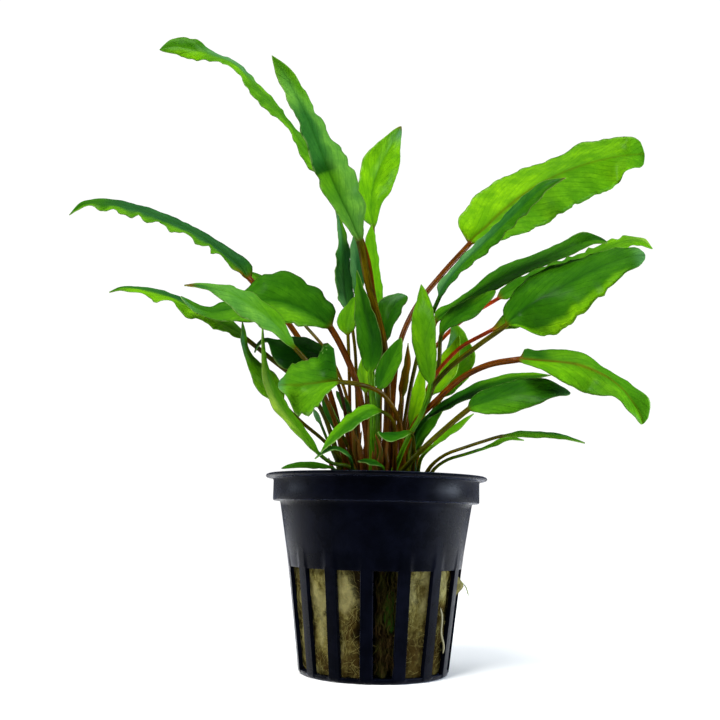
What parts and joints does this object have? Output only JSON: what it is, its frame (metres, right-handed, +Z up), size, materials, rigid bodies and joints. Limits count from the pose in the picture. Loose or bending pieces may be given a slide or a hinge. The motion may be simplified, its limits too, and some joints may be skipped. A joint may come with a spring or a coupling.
{
  "type": "potted aquarium plant",
  "caption": "Broad-leaved aquarium plant on long slender petioles, rooted in rockwool inside a tapered pot with slotted sides.",
  "frame": {"origin": "centre of the pot's base underside", "axes": "+Z up along the pot's axis, -Y towards the viewer of the picture, +X to the viewer's right"},
  "size_m": [0.172, 0.0843, 0.1782],
  "materials": {
    "pot": "satin, fine moulded grain",
    "wool": "fibrous, matt",
    "root_ball": "fibrous, matt",
    "crown": "rough",
    "leaf": "soft sheen"
  },
  "bodies": {
    "root": {"pot": "pot", "wool": "wool", "root_ball": "root_ball", "crown": "crown", "leaf_left_01": "leaf", "leaf_left_02": "leaf", "leaf_left_03": "leaf", "leaf_left_04": "leaf", "leaf_left_05": "leaf", "leaf_left_06": "leaf", "leaf_left_07": "leaf", "leaf_left_08": "leaf", "leaf_left_09": "leaf", "leaf_left_10": "leaf", "leaf_left_11": "leaf", "leaf_left_12": "leaf", "leaf_left_13": "leaf", "leaf_left_14": "leaf", "leaf_left_15": "leaf", "leaf_left_16": "leaf", "leaf_left_17": "leaf", "leaf_left_18": "leaf", "leaf_left_19": "leaf", "leaf_left_20": "leaf", "leaf_left_21": "leaf", "leaf_left_22": "leaf", "leaf_left_23": "leaf", "leaf_left_24": "leaf", "leaf_left_25": "leaf", "leaf_left_26": "leaf", "leaf_left_27": "leaf", "leaf_left_28": "leaf", "leaf_right_01": "leaf", "leaf_right_02": "leaf", "leaf_right_03": "leaf", "leaf_right_04": "leaf", "leaf_right_05": "leaf", "leaf_right_06": "leaf", "leaf_right_07": "leaf", "leaf_right_08": "leaf", "leaf_right_09": "leaf", "leaf_right_10": "leaf", "leaf_right_11": "leaf", "leaf_right_12": "leaf", "leaf_right_13": "leaf", "leaf_right_14": "leaf", "leaf_right_15": "leaf", "leaf_right_16": "leaf", "leaf_right_17": "leaf", "leaf_right_18": "leaf", "leaf_right_19": "leaf"}
  },
  "joints": []
}
